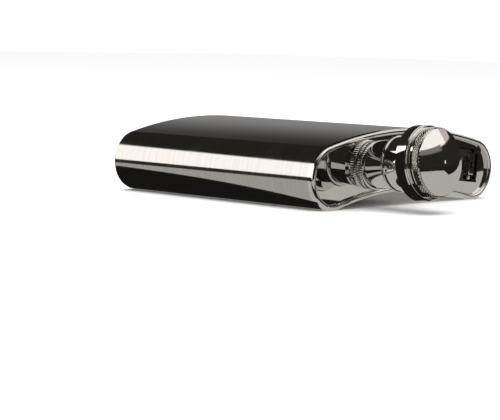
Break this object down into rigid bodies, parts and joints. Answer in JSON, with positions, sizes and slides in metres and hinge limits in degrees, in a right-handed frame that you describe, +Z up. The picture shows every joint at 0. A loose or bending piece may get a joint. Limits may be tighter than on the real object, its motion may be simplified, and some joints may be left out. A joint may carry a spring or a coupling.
{
  "type": "hip flask",
  "caption": "Curved stainless hip flask with an offset screw cap and a refillable gas lighter in a pocket of its shoulder.",
  "frame": {"origin": "under the middle of the overall length and width, on the surface that the flask lies on", "axes": "+X along the flask from its base to its cap, +Y across its width, +Z up through its thickness from the hollow back to the front face"},
  "size_m": [0.1252, 0.094, 0.0285],
  "materials": {
    "body_steel": "stainless sheet, fine brushed grain round the section",
    "polished_steel": "mirror-polished stainless",
    "knurled_steel": "polished stainless with diamond knurling",
    "liner_plastic": "moulded polypropylene",
    "seal_rubber": "food-grade silicone",
    "lighter_black": "moulded, fine grain",
    "lighter_chrome": "bright plated",
    "striker_steel": "blackened hardened steel",
    "small_steel": "drawn wire and sheet",
    "brass": "turned",
    "flint_alloy": "pressed rod"
  },
  "bodies": {
    "flask": {"body_sleeve": "body_steel", "base_plate": "body_steel", "shoulder": "polished_steel", "neck_tube": "polished_steel", "neck_base_ring": "polished_steel", "neck_collar": "polished_steel", "lighter_pocket": "polished_steel"},
    "seal_lift": {"cap_seal": "seal_rubber"},
    "cap": {"cap_shell": "polished_steel", "cap_wide_band": "polished_steel", "cap_bead": "polished_steel", "cap_plain_band": "polished_steel", "cap_crown_ring": "knurled_steel", "cap_dome": "polished_steel", "cap_liner": "liner_plastic"},
    "lighter": {"lighter_tank": "lighter_black", "lighter_tray": "lighter_black", "lighter_deck": "lighter_black", "wheel_bracket": "small_steel", "wheel_axle": "small_steel", "flint": "flint_alloy", "flint_tube": "brass", "flint_spring": "small_steel", "flint_screw": "brass", "valve_body": "brass", "valve_spring": "small_steel", "burner_hood": "lighter_chrome", "lever_pin": "small_steel", "lever_spring": "small_steel", "filler_valve": "brass"},
    "striker": {"striker_wheel": "striker_steel", "thumb_rim_near": "striker_steel", "thumb_rim_far": "striker_steel"},
    "lever": {"thumb_lever": "lighter_black"},
    "jet": {"jet_nozzle": "brass"},
    "adjuster": {"flame_adjuster": "small_steel", "adjuster_knob": "lighter_chrome"}
  },
  "joints": [
    {"name": "cap_lift", "type": "slide", "parent": "flask", "child": "seal_lift", "axis": [0.9954, 0, 0.0958], "range_m": [0, 0.01352]},
    {"name": "cap_turn", "type": "hinge", "parent": "seal_lift", "child": "cap", "pos_m": [0.03161, -0.017, 0.01395], "axis": [0.9954, 0, 0.0958], "range_deg": [0, 1620]},
    {"name": "lighter_lift", "type": "slide", "parent": "flask", "child": "lighter", "axis": [1, 0, 0], "range_m": [0, 0.045]},
    {"name": "striker_spin", "type": "hinge", "parent": "lighter", "child": "striker", "pos_m": [0.0274, 0.03178, 0.01226], "axis": [0, 0.1045, 0.9945], "continuous": true},
    {"name": "lever_press", "type": "hinge", "parent": "lighter", "child": "lever", "pos_m": [0.0244, 0.0271, 0.01275], "axis": [0, -0.1045, -0.9945], "range_deg": [0, 5], "stiffness_Nm_per_rad": 0.0004, "springref_deg": -4.58, "deforming": ["lever_spring"]},
    {"name": "jet_lift", "type": "slide", "parent": "lighter", "child": "jet", "axis": [1, 0, 0], "range_m": [0, 0.00089], "deforming": ["valve_spring"]},
    {"name": "adjuster_turn", "type": "hinge", "parent": "lighter", "child": "adjuster", "pos_m": [0.03161, 0.03728, 0.01198], "axis": [1, 0, 0], "range_deg": [-10, 10]}
  ],
  "couplings": [
    {"joint": "cap_lift", "follows": "cap_turn", "m_per_rad": 0.00047746},
    {"joint": "lever_press", "follows": "jet_lift", "rad_per_m": 98.039}
  ]
}
